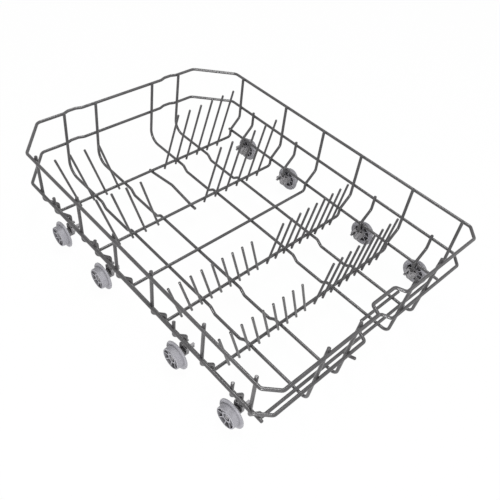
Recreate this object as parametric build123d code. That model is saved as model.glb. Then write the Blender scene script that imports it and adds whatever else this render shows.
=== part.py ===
from build123d import *
import math
import os

os.makedirs("parts", exist_ok=True)

# Wire stock and welds
wire_d = 4.4            # structural wire with its coating
tine_d = 3.4            # plate tines with their coating
weld_set = 0.3          # depth that two crossing wires sink into each other at a weld
tip_bevel = 0.8         # bevel round the cut ends of the wires

# Rim and belt loops, sizes from wire axis to wire axis
rim_width = 377.0
rim_depth = 527.3
rim_height = 102.9      # above the floor's cross wires
belt_height = 49.3
end_lean = 3.8          # degrees that the end walls lean towards the front
front_chamfer = 15.8
back_chamfer = 51.0
left_back_across = 45.2 # the left back chamfer is steeper than the right one
left_back_along = 55.5
front_corner_bend = 5.5
back_corner_bend = 10.0

# Handle recess in the front of both loops
handle_x = 2.2          # middle of the recess
handle_mouth = 53.0
handle_floor = 41.5
handle_depth = 13.6
handle_bend = 5.0

# Outward bumps in the back of both loops
bump_x = 87.0
bump_flat = 12.0
bump_run = 9.0
bump_depth = 3.2
bump_bend = 6.0

# Cross wires, distances behind the rim's front wire
cross_places = [26.3, 106.5, 198.9, 272.5, 353.1, 454.4]
cross_tip = 4.6         # tip above the rim
foot_inset = 23.0       # short uprights that end the floor, inside the rim wire
low_knee = 14.0         # height of the knee above the foot
high_knee = 32.5        # height of the knee below the side upright
foot_bend = 5.0
low_bend = 5.0
high_bend = 8.0

# Side rails
rail_height = 10.0
rail_overhang = 8.5     # past the first and last cross wires

# Tine rows, counted outwards from the middle
pitch_count = 9.91      # tine pitches from the middle to a foot
tine_tail = 4.7         # below the cross wire's axis
short_count = 9
short_first = 0.61      # first tine's place in pitches
short_top = 62.5
short_rise = 0.4        # gain in height from each tine to the next
short_lean = 17.2       # degrees outwards
tall_count = 6
tall_skip_count = 2     # tall tines left out beside the middle on the left
tall_spacing = 4 / 3    # tall pitch over short pitch
tall_top = 88.0
tall_rise = 1.0
tall_lean = 16.5

# Long wires, set between tines of both rows
inner_long = 3.07       # places in tine pitches
outer_long = 6.19
long_tip = 4.6
front_bend = 9.0
back_bend = 19.0
dip_depth = 7.0
dip_run = 9.0
dip_from_back = 14.5    # from the bay's back cross wire to the slope
dip_from_front = 10.8   # from the bay's front cross wire to the slope
dip_bend = 5.0

# Small wires on the floor
arch_rise = 7.5
arch_overhang = 8.5
arch_bend = 12.0
arch_foot_bend = 5.0
rod_place = 42.5        # behind the rim's front wire
rod_overhang = 13.0     # past the two long wires
rod_inner_overhang = 18.0
pin_x = -18.6
pin_flat = 6.0          # level part forward of the first cross wire
pin_reach = 18.0        # tip forward of the first cross wire
pin_rise = 6.0
pin_bend = 6.0

# Wheels and their stays, distances behind the rim's front wire
wheel_places = [55.8, 157.5, 320.7, 421.8]
axle_drop = 13.4        # axle below the cross wires' axis
stay_tip = 9.0          # tip above the belt
flange_d = 40.0
flange_t = 2.4
tread_d = 30.6
tread_taper = 0.6       # loss of radius across the tread
tread_w = 8.8
wheel_bevel = 0.5       # on the edges of flange and tread
wheel_inset = 10.5      # flange's inner face inside the rim wire's axis
ring_t = 1.5
hub_d = 14.6
hub_inset = 2.0         # hub end below the outer face
hub_lap = 1.0           # spokes' reach into the hub
hub_pocket_d = 10.2     # pocket in the hub's end for the axle's snap head
hub_pocket = 3.4
web_place = 4.6         # web between the spokes, from the flange's inner face
web_t = 1.2
spoke_count = 8
spoke_t = 1.4
spoke_inset = 0.4       # below both faces at the tread
axle_d = 6.0
axle_play = 0.05        # radial running clearance
end_play = 0.35         # between the wheel and its stops

# Wheel brackets
bracket_length = 14.0
bracket_drop = 2.6      # top below the cross wires' axis
bracket_side = 6.0      # height of the upright side walls
bracket_wall = 1.5      # plastic round the stay's socket
socket_depth = 12.0
socket_play = 0.1
boss_d = 13.0
boss_reach = 7.4        # from the bracket's block to the wheel
core_w = 3.2            # moulded pockets beside the socket
core_wall = 1.0
core_depth = 8.0
finger_place = 4.6      # latch fingers to each side of the stay
finger_w = 3.0
short_finger = 7.0      # reach inside the stay
short_finger_h = 2.6
long_finger = 9.1
long_finger_h = 7.0
finger_gap = 2.4        # slit in the long finger
snap_rise = 1.2         # snap hooks' reach over the axle's radius
snap_t = 2.6
snap_w = 4.4            # between the flats of the snap head
snap_slot = 1.2         # height of the slit between the two hooks
snap_slot_l = 5.0

# Derived places
wire_r = wire_d / 2
welded = wire_d - weld_set                      # axis distance of two welded wires
tine_welded = (wire_d + tine_d) / 2 - weld_set
lean = math.tan(math.radians(end_lean))
belt_shift = (rim_height - belt_height) * lean  # belt behind the rim
axle_z = flange_d / 2
floor_z = axle_z + axle_drop
front_y = -(rim_depth + belt_shift + bump_depth) / 2
back_y = front_y + rim_depth
cross_y = [front_y + place for place in cross_places]
wheel_y = [front_y + place for place in wheel_places]
dip_bays = [cross_y[1:3], cross_y[4:6]]
side_x = rim_width / 2 - welded
foot_x = rim_width / 2 - foot_inset
tine_pitch = foot_x / pitch_count
rail_x = foot_x + welded
long_z = floor_z - welded
inner_x = inner_long * tine_pitch
outer_x = outer_long * tine_pitch
wheel_x = rim_width / 2 - wheel_inset
face_x = wheel_x + flange_t + tread_w
bracket_z = floor_z - bracket_drop
sides = {"left": -1, "right": 1}


def blunt(wire):
    """A wire with both of its cut ends bevelled."""
    ends = wire.faces().filter_by(GeomType.PLANE)
    return chamfer(ends.edges(), tip_bevel)


def bent_wire(points, bends, closed=False):
    """A round wire along straight runs joined by tangent bends."""
    path = FilletPolyline(*points, radius=bends, close=closed)
    start = Plane(origin=path @ 0, z_dir=path % 0)
    wire = sweep(start * Circle(wire_r), path=path)
    return wire if closed else blunt(wire)


def straight_wire(start, end, diameter):
    """A round wire from one end to the other."""
    run = Vector(*end) - Vector(*start)
    return blunt(extrude(Plane(origin=start, z_dir=run) * Circle(diameter / 2), amount=run.length))


def half_loop(shift, handle, back_across, back_along):
    """Corners of half a loop, drawn to the right, from the handle recess round to the back bump."""
    half = rim_width / 2
    front = front_y + shift
    back = back_y + shift
    return [
        (handle + handle_floor / 2, front + handle_depth),
        (handle + handle_mouth / 2, front),
        (half - front_chamfer, front),
        (half, front + front_chamfer),
        (half, back - back_along),
        (half - back_across, back),
        (bump_x + bump_flat / 2 + bump_run, back),
        (bump_x + bump_flat / 2, back + bump_depth),
        (bump_x - bump_flat / 2, back + bump_depth),
        (bump_x - bump_flat / 2 - bump_run, back),
    ]


def loop_wire(height, shift):
    """The closed outline shared by rim and belt, with handle recess and back bumps."""
    right = half_loop(shift, handle_x, back_chamfer, back_chamfer)
    left = half_loop(shift, -handle_x, left_back_across, left_back_along)
    bends = [handle_bend] * 2 + [front_corner_bend] * 2 + [back_corner_bend] * 2 + [bump_bend] * 4
    outline = right + [(-x, y) for x, y in reversed(left)]
    return bent_wire([(x, y, height) for x, y in outline], bends + bends[::-1], closed=True)


def side_profile(tip, foot):
    """Corners of a right side upright from its tip to its foot, as X and Z."""
    return [(side_x, tip), (side_x, floor_z + high_knee), (foot_x, floor_z + low_knee), (foot_x, foot)]


def cross_wire(y):
    """A floor wire that steps out at both feet and rises to a tip above the rim."""
    right = side_profile(floor_z + rim_height + cross_tip, floor_z)
    corners = right + [(-x, z) for x, z in reversed(right)]
    bends = [high_bend, low_bend, foot_bend, foot_bend, low_bend, high_bend]
    return bent_wire([(x, y, z) for x, z in corners], bends)


def long_wire(x):
    """A floor wire from the front wall to the back wall, dipped in two bays."""
    tip = rim_height + long_tip
    below_rim = rim_height + welded
    front_leg = front_y + welded
    back_leg = back_y - welded
    corners = [(front_leg - long_tip * lean, floor_z + tip), (front_leg + below_rim * lean, long_z)]
    bends = [front_bend]
    for near, far in dip_bays:
        down = near + dip_from_front
        up = far - dip_from_back
        corners += [(down, long_z), (down + dip_run, long_z - dip_depth)]
        corners += [(up - dip_run, long_z - dip_depth), (up, long_z)]
        bends += [dip_bend] * 4
    corners += [(back_leg + below_rim * lean, long_z), (back_leg - long_tip * lean, floor_z + tip)]
    bends.append(back_bend)
    return bent_wire([(x, y, z) for y, z in corners], bends)


def tine_row(cross, side, first, count, start, pitch, top, rise, slope):
    """Straight tines welded to the front of the cross wire at Y cross, leaning outwards."""
    y = cross - tine_welded
    run = math.tan(math.radians(slope))
    row = []
    for k in range(first, count):
        height = top + rise * k
        foot = start + pitch * k
        low = (side * (foot - tine_tail * run), y, floor_z - tine_tail)
        high = (side * (foot + height * run), y, floor_z + height)
        row.append(straight_wire(low, high, tine_d))
    return row


def stay(side, y):
    """A wire from the belt down past the rail into a wheel bracket."""
    corners = side_profile(floor_z + belt_height + stay_tip, bracket_z - socket_depth)
    return bent_wire([(side * x, y, z) for x, z in corners], [high_bend, low_bend])


def wheel():
    """A flanged wheel on the X axis for the right side, with spokes on both faces of its web."""
    ring_r = tread_d / 2 - tread_taper - ring_t
    outline = [
        (wheel_x, ring_r),
        (wheel_x, flange_d / 2 - wheel_bevel),
        (wheel_x + wheel_bevel, flange_d / 2),
        (wheel_x + flange_t - wheel_bevel, flange_d / 2),
        (wheel_x + flange_t, flange_d / 2 - wheel_bevel),
        (wheel_x + flange_t, tread_d / 2),
        (face_x - wheel_bevel, tread_d / 2 - tread_taper),
        (face_x, tread_d / 2 - tread_taper - wheel_bevel),
        (face_x, ring_r),
    ]
    body = revolve(make_face(Polyline(*outline, close=True)), Axis.X)
    hub_w = face_x - hub_inset - wheel_x
    across = Plane(origin=(wheel_x, 0, 0), x_dir=(0, 1, 0), z_dir=(1, 0, 0))
    middle_r = ring_r + ring_t / 2
    body += extrude(across * Circle(hub_d / 2), amount=hub_w)
    body += extrude(across.offset(web_place) * Circle(middle_r), amount=web_t)
    # Spokes whose outer edges slope from the tread down to the hub's end
    spoke_outline = [
        (wheel_x + spoke_inset, hub_d / 2 - hub_lap),
        (wheel_x + spoke_inset, middle_r),
        (face_x - spoke_inset, middle_r),
        (face_x - hub_inset, hub_d / 2 - hub_lap),
    ]
    spoke = Plane.XZ * make_face(Polyline(*spoke_outline, close=True))
    spoke = extrude(spoke, amount=spoke_t / 2, both=True)
    for k in range(spoke_count):
        body += Rot(360 * k / spoke_count, 0, 0) * spoke
    body -= extrude(across * Circle(axle_d / 2 + axle_play), amount=hub_w)
    pocket = across.offset(hub_w - hub_pocket) * Circle(hub_pocket_d / 2)
    return body - extrude(pocket, amount=hub_pocket)


def bracket():
    """A moulded wheel bracket for the right side: stay socket, axle and two latch fingers."""
    boss_x = wheel_x - end_play
    block_w = boss_x - boss_reach - foot_x
    across = Plane(origin=(foot_x, 0, axle_z), x_dir=(0, 1, 0), z_dir=(1, 0, 0))
    shoulder_z = bracket_z - axle_z - bracket_side / 2
    shoulder = Pos(0, shoulder_z) * Rectangle(bracket_length, bracket_side)
    boss = Circle(boss_d / 2)
    body = extrude(across * make_hull(shoulder.edges() + boss.edges()), amount=block_w)
    body += extrude(across * boss, amount=boss_x - foot_x)
    # Latch fingers on the inner side, the long one slit
    long_place = (foot_x - long_finger / 2, finger_place, bracket_z - long_finger_h / 2)
    body += Pos(*long_place) * Box(long_finger, finger_w, long_finger_h)
    body -= Pos(*long_place) * Box(long_finger, finger_w, finger_gap)
    short_place = (foot_x - short_finger / 2, -finger_place, bracket_z - short_finger_h / 2)
    body += Pos(*short_place) * Box(short_finger, finger_w, short_finger_h)
    # Socket that takes the stay's lower end, with a pocket to each side
    bore_r = wire_r + socket_play
    bore_h = socket_depth + socket_play
    floor = Plane(origin=(foot_x, 0, bracket_z - bore_h))
    sleeve = floor.offset(-bracket_wall) * Circle(bore_r + bracket_wall)
    body += extrude(sleeve, amount=bore_h + bracket_wall)
    body -= extrude(floor * Circle(bore_r), amount=bore_h)
    core_l = block_w - 2 * core_wall
    core_y = bracket_length / 2 - core_wall - core_w / 2
    for side in (-1, 1):
        place = (foot_x + block_w / 2, side * core_y, bracket_z - core_depth / 2)
        body -= Pos(*place) * Box(core_l, core_w, core_depth)
    # Axle with a split, flat-sided snap head in the hub's pocket
    head_x = face_x - hub_inset - hub_pocket + end_play
    body += extrude(across.offset(boss_x - foot_x) * Circle(axle_d / 2), amount=head_x - boss_x)
    head = Plane(origin=(head_x, 0, axle_z), z_dir=(1, 0, 0))
    snap_r = axle_d / 2 + snap_rise
    hooks = loft([head * Circle(snap_r), head.offset(snap_t) * Circle(axle_d / 2)])
    body += hooks & Pos(head_x + snap_t / 2, 0, axle_z) * Box(snap_t, snap_w, 2 * snap_r)
    slot_x = head_x + snap_t - snap_slot_l / 2
    return body - Pos(slot_x, 0, axle_z) * Box(snap_slot_l, axle_d, snap_slot)


parts = {}
parts["rim_wire"] = loop_wire(floor_z + rim_height, 0)
parts["belt_wire"] = loop_wire(floor_z + belt_height, belt_shift)
for number, y in enumerate(cross_y, 1):
    parts[f"cross_wire_{number}"] = cross_wire(y)
for number, x in enumerate([-outer_x, -inner_x, inner_x, outer_x], 1):
    parts[f"long_wire_{number}"] = long_wire(x)

rail_z = floor_z + rail_height
for name, side in sides.items():
    front = (side * rail_x, cross_y[0] - rail_overhang, rail_z)
    back = (side * rail_x, cross_y[-1] + rail_overhang, rail_z)
    parts[f"rail_{name}"] = straight_wire(front, back, wire_d)

arch_corners = [
    (0, cross_y[4] - arch_overhang, long_z),
    (0, cross_y[4], long_z),
    (0, (cross_y[4] + cross_y[5]) / 2, long_z + arch_rise),
    (0, cross_y[5], long_z),
    (0, cross_y[5] + arch_overhang, long_z),
]
parts["centre_arch_wire"] = bent_wire(arch_corners, [arch_foot_bend, arch_bend, arch_foot_bend])

rod_y = front_y + rod_place
rod_ends = [(inner_x - rod_inner_overhang, rod_y, floor_z), (outer_x + rod_overhang, rod_y, floor_z)]
parts["front_short_rod"] = straight_wire(*rod_ends, wire_d)

pin_corners = [
    (pin_x, cross_y[0] + wire_r, floor_z - welded),
    (pin_x, cross_y[0] - pin_flat, floor_z - welded),
    (pin_x, cross_y[0] - pin_reach, floor_z - welded + pin_rise),
]
parts["front_stop_pin"] = bent_wire(pin_corners, [pin_bend])

for name, side in sides.items():
    for number, y in enumerate(cross_y[1:3], 2):
        start = short_first * tine_pitch
        row = tine_row(y, side, 0, short_count, start, tine_pitch, short_top, short_rise, short_lean)
        parts[f"short_tines_{number}_{name}"] = Compound(children=row)
    for number, y in enumerate(cross_y[4:6], 5):
        pitch = tine_pitch * tall_spacing
        first = tall_skip_count if side < 0 else 0
        row = tine_row(y, side, first, tall_count, pitch, pitch, tall_top, tall_rise, tall_lean)
        parts[f"tall_tines_{number}_{name}"] = Compound(children=row)

right_wheel = wheel()
right_bracket = bracket()
for name, side in sides.items():
    parts[f"wheel_stays_{name}"] = Compound(children=[stay(side, y) for y in wheel_y])
    turn = 0 if side > 0 else 180
    brackets = [Pos(0, y, 0) * Rot(0, 0, turn) * right_bracket for y in wheel_y]
    parts[f"wheel_brackets_{name}"] = Compound(children=brackets)
    for number, y in enumerate(wheel_y, 1):
        parts[f"wheel_{number}_{name}"] = Pos(0, y, axle_z) * Rot(0, 0, turn) * right_wheel

for name, part in parts.items():
    export_step(part, f"parts/{name}.step")
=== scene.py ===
import bpy
import math
from mathutils import Matrix, Vector


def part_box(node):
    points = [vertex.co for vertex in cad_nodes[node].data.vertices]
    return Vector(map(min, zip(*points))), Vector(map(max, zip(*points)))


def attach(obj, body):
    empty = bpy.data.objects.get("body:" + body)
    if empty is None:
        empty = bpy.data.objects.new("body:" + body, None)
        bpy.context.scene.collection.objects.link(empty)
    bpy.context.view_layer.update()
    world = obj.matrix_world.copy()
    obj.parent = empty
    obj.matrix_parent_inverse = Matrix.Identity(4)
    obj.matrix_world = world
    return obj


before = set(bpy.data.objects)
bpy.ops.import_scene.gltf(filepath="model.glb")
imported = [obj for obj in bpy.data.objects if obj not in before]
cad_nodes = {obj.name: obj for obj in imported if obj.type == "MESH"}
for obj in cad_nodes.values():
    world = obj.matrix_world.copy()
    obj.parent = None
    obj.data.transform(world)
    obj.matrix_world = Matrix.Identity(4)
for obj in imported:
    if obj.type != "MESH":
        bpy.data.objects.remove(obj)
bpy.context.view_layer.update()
bpy.ops.object.select_all(action="DESELECT")

# Greys of the coat and the plastics, and the painted shade in the plastics' pockets
COAT_DARK = (0.047, 0.0455, 0.047)
COAT_PALE = (0.066, 0.0641, 0.0664)
WHEEL_DARK = (0.252, 0.2487, 0.271)
WHEEL_PALE = (0.300, 0.2967, 0.320)
WHEEL_SCUFF = (0.211, 0.2087, 0.224)
WHEEL_POCKET_SHADE = (0.098, 0.096, 0.102)
BRACKET_DARK = (0.215, 0.210, 0.217)
BRACKET_PALE = (0.270, 0.264, 0.272)
BRACKET_POCKET_SHADE = (0.040, 0.039, 0.041)
NOISE_LOW, NOISE_HIGH = 0.3, 0.7      # where a noise pattern has most of its values


# Finishes
def blank_finish(name):
    """A material with a plastic shader and the object's own coordinates."""
    finish = bpy.data.materials.new(name)
    finish.use_nodes = True
    tree = finish.node_tree
    shader = tree.nodes["Principled BSDF"]
    place = tree.nodes.new("ShaderNodeTexCoord")
    return finish, tree, shader, place.outputs["Object"]


def stretched(tree, place, scale):
    """Coordinates stretched by a scale for each axis."""
    mapping = tree.nodes.new("ShaderNodeMapping")
    mapping.inputs["Scale"].default_value = scale
    tree.links.new(place, mapping.inputs["Vector"])
    return mapping.outputs["Vector"]


def noise(tree, place, scale, detail, roughness):
    """A noise pattern on the object's coordinates."""
    pattern = tree.nodes.new("ShaderNodeTexNoise")
    pattern.inputs["Scale"].default_value = scale
    pattern.inputs["Detail"].default_value = detail
    pattern.inputs["Roughness"].default_value = roughness
    tree.links.new(place, pattern.inputs["Vector"])
    return pattern.outputs["Fac"]


def tones(tree, pattern, dark, pale):
    """A pattern as a run from a dark to a pale grey."""
    ramp = tree.nodes.new("ShaderNodeValToRGB")
    stops = ((NOISE_LOW, dark), (NOISE_HIGH, pale))
    for element, (position, colour) in zip(ramp.color_ramp.elements, stops):
        element.position = position
        element.color = (*colour, 1)
    tree.links.new(pattern, ramp.inputs["Fac"])
    return ramp.outputs["Color"]


def spread(tree, pattern, low, high):
    """A pattern spread between two numbers."""
    span = tree.nodes.new("ShaderNodeMapRange")
    span.inputs["From Min"].default_value = NOISE_LOW
    span.inputs["From Max"].default_value = NOISE_HIGH
    span.inputs["To Min"].default_value = low
    span.inputs["To Max"].default_value = high
    tree.links.new(pattern, span.inputs["Value"])
    return span.outputs["Result"]


def relief(tree, pattern, strength, depth):
    """A fine surface relief from a pattern."""
    bump = tree.nodes.new("ShaderNodeBump")
    bump.inputs["Strength"].default_value = strength
    bump.inputs["Distance"].default_value = depth
    tree.links.new(pattern, bump.inputs["Height"])
    return bump.outputs["Normal"]


def painted_recess_shade(tree, reach, low, high):
    """Share of painted shade by how deep a point lies in the piece's own recesses: 0 in the open, 1
    deep inside.
    """
    hollow = tree.nodes.new("ShaderNodeAmbientOcclusion")
    hollow.only_local = True
    hollow.samples = 16
    hollow.inputs["Distance"].default_value = reach
    span = tree.nodes.new("ShaderNodeMapRange")
    span.inputs["From Min"].default_value = high
    span.inputs["From Max"].default_value = low
    tree.links.new(hollow.outputs["AO"], span.inputs["Value"])
    return span.outputs["Result"]


def blended(tree, share, pattern, colour):
    """A coloured pattern that turns into a plain colour by a share."""
    mix = tree.nodes.new("ShaderNodeMix")
    mix.data_type = "RGBA"
    first, second = [socket for socket in mix.inputs if socket.type == "RGBA"]
    tree.links.new(share, mix.inputs["Factor"])
    tree.links.new(pattern, first)
    second.default_value = (*colour, 1)
    return next(socket for socket in mix.outputs if socket.type == "RGBA")


def coated_wire_finish():
    """Grey nylon dip coating with slow tone changes and an orange-peel skin."""
    finish, tree, shader, place = blank_finish("coated_wire")
    cloudy = noise(tree, place, scale=38, detail=4, roughness=0.6)
    skin = noise(tree, place, scale=520, detail=2, roughness=0.5)
    peel = relief(tree, skin, strength=0.02, depth=0.0002)
    tree.links.new(tones(tree, cloudy, COAT_DARK, COAT_PALE), shader.inputs["Base Color"])
    tree.links.new(spread(tree, cloudy, 0.18, 0.26), shader.inputs["Roughness"])
    tree.links.new(peel, shader.inputs["Normal"])
    return finish


def wheel_plastic_finish():
    """Pale grey moulded plastic, faintly blue, with a scuffed tread and painted shade darkening its
    pockets.
    """
    finish, tree, shader, place = blank_finish("wheel_plastic")
    cloudy = noise(tree, place, scale=90, detail=3, roughness=0.55)
    grain = noise(tree, place, scale=1400, detail=2, roughness=0.5)
    round_the_axle = stretched(tree, place, (900, 40, 40))
    tracks = noise(tree, round_the_axle, scale=1, detail=3, roughness=0.6)
    grey = tones(tree, cloudy, WHEEL_DARK, WHEEL_PALE)
    scuffed = blended(tree, spread(tree, tracks, 0, 0.22), grey, WHEEL_SCUFF)
    # Painted shade: a darker colour in the wheel's recesses, laid on by an occlusion mask
    painted_pocket_shade = painted_recess_shade(tree, reach=0.010, low=0.25, high=0.72)
    moulded = relief(tree, grain, strength=0.05, depth=0.0001)
    tree.links.new(blended(tree, painted_pocket_shade, scuffed, WHEEL_POCKET_SHADE), shader.inputs["Base Color"])
    tree.links.new(spread(tree, tracks, 0.42, 0.58), shader.inputs["Roughness"])
    tree.links.new(moulded, shader.inputs["Normal"])
    return finish


def bracket_plastic_finish():
    """Mid grey moulded plastic with a fine grain and painted shade darkening its pockets."""
    finish, tree, shader, place = blank_finish("bracket_plastic")
    cloudy = noise(tree, place, scale=120, detail=3, roughness=0.55)
    grain = noise(tree, place, scale=1600, detail=2, roughness=0.5)
    grey = tones(tree, cloudy, BRACKET_DARK, BRACKET_PALE)
    # Painted shade: a near-black colour in the bracket's recesses, laid on by an occlusion mask
    painted_pocket_shade = painted_recess_shade(tree, reach=0.007, low=0.3, high=0.8)
    moulded = relief(tree, grain, strength=0.08, depth=0.0001)
    tree.links.new(blended(tree, painted_pocket_shade, grey, BRACKET_POCKET_SHADE), shader.inputs["Base Color"])
    tree.links.new(spread(tree, cloudy, 0.4, 0.55), shader.inputs["Roughness"])
    tree.links.new(moulded, shader.inputs["Normal"])
    return finish


wire_coat = coated_wire_finish()
wheel_grey = wheel_plastic_finish()
bracket_grey = bracket_plastic_finish()

for name, node in cad_nodes.items():
    if name.startswith("wheel_brackets"):
        finish = bracket_grey
    elif name.startswith("wheel_stays") or not name.startswith("wheel"):
        finish = wire_coat
    else:
        finish = wheel_grey
    node.data.materials.clear()
    node.data.materials.append(finish)

# Places of the wires
ALONG_X = Vector((1, 0, 0))
ALONG_Y = Vector((0, 1, 0))
ALONG_Z = Vector((0, 0, 1))
SIDES = {"left": -1, "right": 1}
OUTSIDE = 0.01                        # start of a ray, beyond the end of a tine row
STEP_PAST = 1e-5                      # step past a surface that a ray has met


def middle(node):
    """Centre of a CAD node's box."""
    low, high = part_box(node)
    return (low + high) / 2


def surface(node, start, direction):
    """First point of a CAD node that is met from a start."""
    return cad_nodes[node].ray_cast(start, direction)[1]


def tine_feet(node, height):
    """X of each tine in a row at a height."""
    spot = Vector((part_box(node)[0].x - OUTSIDE, middle(node).y, height))
    feet = []
    while True:
        met, entry = cad_nodes[node].ray_cast(spot, ALONG_X)[:2]
        if not met:
            return feet
        leave = surface(node, entry + STEP_PAST * ALONG_X, ALONG_X)
        feet.append((entry.x + leave.x) / 2)
        spot = leave + STEP_PAST * ALONG_X


cross_wires = [f"cross_wire_{number}" for number in range(1, 7)]
long_wires = [f"long_wire_{number}" for number in range(1, 5)]
tine_rows = {2: "short", 3: "short", 5: "tall", 6: "tall"}
wire_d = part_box("rail_left")[1].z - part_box("rail_left")[0].z
weld_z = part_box("cross_wire_1")[0].z
floor_z = weld_z + wire_d / 2
rim_z = middle("rim_wire").z
belt_z = middle("belt_wire").z
rail_z = middle("rail_left").z


# Coating pooled at the welds
def coating_pool(reach, height):
    """One pool of coating, flat in Z and wider between the two wires than along them."""
    bpy.ops.object.select_all(action="DESELECT")
    bpy.ops.mesh.primitive_uv_sphere_add(segments=8, ring_count=6, radius=reach)
    pool = bpy.context.object
    axis_band = 0.1 * reach
    along_wires = 0.8
    for vertex in pool.data.vertices:
        vertex.select = min(abs(vertex.co.x), abs(vertex.co.y)) < axis_band
    bpy.ops.object.mode_set(mode="EDIT")
    bpy.ops.transform.resize(value=(along_wires, along_wires, 1))
    bpy.ops.mesh.select_all(action="SELECT")
    bpy.ops.transform.resize(value=(1, 1, height / reach))
    bpy.ops.object.mode_set(mode="OBJECT")
    bpy.ops.object.shade_smooth()
    return pool


def weld_places():
    """Each weld as its place and the direction from one wire to the other."""
    welds = {"floor": [], "wall": [], "tine": []}
    for cross in cross_wires:
        y = middle(cross).y
        for wire in long_wires:
            welds["floor"].append(((middle(wire).x, y, weld_z), ALONG_Z))
        for side in SIDES.values():
            for z in (rim_z, belt_z):
                welds["wall"].append(((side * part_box(cross)[1].x, y, z), ALONG_X))
    for name, side in SIDES.items():
        rail_x = side * min(abs(corner.x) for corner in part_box(f"rail_{name}"))
        stay_x = side * max(abs(corner.x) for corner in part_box(f"wheel_stays_{name}"))
        for cross in cross_wires:
            welds["wall"].append(((rail_x, middle(cross).y, rail_z), ALONG_X))
        for number in range(1, 5):
            y = middle(f"wheel_{number}_{name}").y
            welds["wall"].append(((rail_x, y, rail_z), ALONG_X))
            welds["wall"].append(((stay_x, y, belt_z), ALONG_X))
    for wire in long_wires:
        for z in (rim_z, belt_z):
            for way in (-1, 1):
                start = Vector((middle(wire).x, way, z))
                welds["wall"].append((surface(wire, start, -way * ALONG_Y), ALONG_Y))
    for row, kind in tine_rows.items():
        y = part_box(f"cross_wire_{row}")[0].y
        for name in SIDES:
            for x in tine_feet(f"{kind}_tines_{row}_{name}", floor_z):
                welds["tine"].append(((x, y, floor_z), ALONG_Y))
    for cross in ("cross_wire_5", "cross_wire_6"):
        welds["floor"].append(((0, middle(cross).y, weld_z), ALONG_Z))
    rod_y = middle("front_short_rod").y
    for wire in ("long_wire_3", "long_wire_4"):
        welds["floor"].append(((middle(wire).x, rod_y, weld_z), ALONG_Z))
    pin_place = (middle("front_stop_pin").x, middle("cross_wire_1").y, weld_z)
    welds["floor"].append((pin_place, ALONG_Z))
    return welds


pool = coating_pool(reach=0.62 * wire_d, height=0.23 * wire_d)
for kind, places in weld_places().items():
    bpy.ops.object.select_all(action="DESELECT")
    copies = []
    for place, direction in places:
        copy = pool.copy()
        copy.data = pool.data.copy()
        turn = ALONG_Z.rotation_difference(direction).to_matrix().to_4x4()
        copy.data.transform(Matrix.Translation(place) @ turn)
        bpy.context.scene.collection.objects.link(copy)
        copy.select_set(True)
        copies.append(copy)
    bpy.context.view_layer.objects.active = copies[0]
    bpy.ops.object.join()
    weld_coat = bpy.context.object
    weld_coat.name = f"{kind}_weld_coating"
    weld_coat.data.materials.append(wire_coat)
    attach(weld_coat, "basket")
bpy.data.objects.remove(pool)

# Floor and light
FLOOR_SIZE = 12
FLOOR_Z = -0.0005
SHADOWLESS = 0.97                     # share of the floor that is plain white to the camera
SKY_LIGHT = 0.3                       # what the sky gives to the basket
SKY_SEEN = 1                          # what the camera and reflections see
STRIP_WIDTH = 0.35
STRIP_TURN = 45                       # degrees: the strip lies level, from front left to back right
AIM = Vector((0, 0, 0.06))


def seen_share(tree):
    """1 for rays from the camera, in reflections and through glass, and 0 for other rays."""
    rays = tree.nodes.new("ShaderNodeLightPath")
    seen = rays.outputs["Is Camera Ray"]
    for ray in ("Is Glossy Ray", "Is Transmission Ray"):
        either = tree.nodes.new("ShaderNodeMath")
        either.operation = "MAXIMUM"
        tree.links.new(seen, either.inputs[0])
        tree.links.new(rays.outputs[ray], either.inputs[1])
        seen = either.outputs[0]
    return seen


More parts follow.
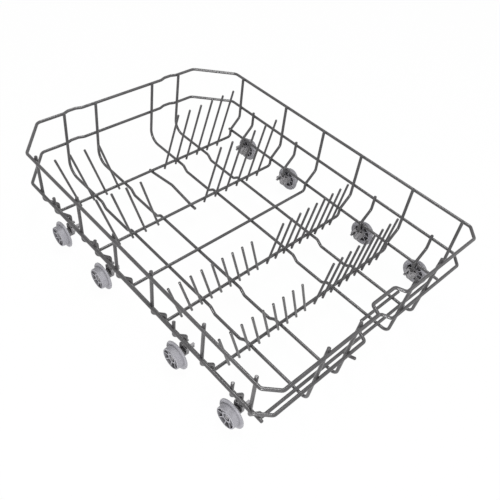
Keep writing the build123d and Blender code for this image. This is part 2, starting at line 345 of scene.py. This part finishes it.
def white_backdrop():
    """A white that the camera sees as background and that still takes a faint shadow."""
    finish = bpy.data.materials.new("backdrop_white")
    finish.use_nodes = True
    tree = finish.node_tree
    shader = tree.nodes["Principled BSDF"]
    shader.inputs["Base Color"].default_value = (0.8, 0.8, 0.8, 1)
    shader.inputs["Roughness"].default_value = 0.9
    glow = tree.nodes.new("ShaderNodeEmission")
    share = tree.nodes.new("ShaderNodeMath")
    share.operation = "MULTIPLY"
    share.inputs[1].default_value = SHADOWLESS
    tree.links.new(seen_share(tree), share.inputs[0])
    mix = tree.nodes.new("ShaderNodeMixShader")
    tree.links.new(share.outputs[0], mix.inputs["Fac"])
    tree.links.new(shader.outputs["BSDF"], mix.inputs[1])
    tree.links.new(glow.outputs["Emission"], mix.inputs[2])
    tree.links.new(mix.outputs["Shader"], tree.nodes["Material Output"].inputs["Surface"])
    return finish


def studio_sky():
    """A world that lights softly and that the camera sees as white."""
    world = bpy.data.worlds.new("studio_light")
    world.use_nodes = True
    sky = world.node_tree
    background = sky.nodes["Background"]
    background.inputs["Color"].default_value = (1, 1, 1, 1)
    level = sky.nodes.new("ShaderNodeMapRange")
    level.inputs["To Min"].default_value = SKY_LIGHT
    level.inputs["To Max"].default_value = SKY_SEEN
    sky.links.new(seen_share(sky), level.inputs["Value"])
    sky.links.new(level.outputs["Result"], background.inputs["Strength"])
    return world


def softbox(name, place, size, watts):
    """A square lamp that faces the middle of the basket."""
    lamp = bpy.data.lights.new(name, "AREA")
    lamp.size = size
    lamp.energy = watts
    stand = bpy.data.objects.new(name, lamp)
    stand.location = place
    stand.rotation_euler = (AIM - stand.location).to_track_quat("-Z", "Y").to_euler()
    bpy.context.scene.collection.objects.link(stand)
    return stand


bpy.ops.mesh.primitive_plane_add(size=FLOOR_SIZE, location=(0, 0, FLOOR_Z))
floor = bpy.context.object
floor.name = "studio_floor"
floor.data.materials.append(white_backdrop())
bpy.context.scene.world = studio_sky()

softbox("key_softbox", (-1.2, -0.95, 0.55), size=0.45, watts=21)
strip = softbox("top_strip", (0.2, 0.13, 1.9), size=1.5, watts=26)
strip.data.shape = "RECTANGLE"
strip.data.size_y = STRIP_WIDTH
strip.rotation_euler = (0, 0, math.radians(STRIP_TURN))
softbox("fill_softbox", (1.3, -1.0, 1.0), size=1.2, watts=5)

# Camera
CAMERA_PLACE = (-0.43029, -0.42881, 0.62517)
CAMERA_TURN = (44.306, -5.596, -42.525)
camera = bpy.data.cameras.new("studio_camera")
camera.lens = 41.8
camera.sensor_width = 36
camera.clip_start = 0.02
stand = bpy.data.objects.new("studio_camera", camera)
stand.location = CAMERA_PLACE
stand.rotation_euler = [math.radians(turn) for turn in CAMERA_TURN]
bpy.context.scene.collection.objects.link(stand)
bpy.context.scene.camera = stand
bpy.context.scene.view_settings.view_transform = "Standard"
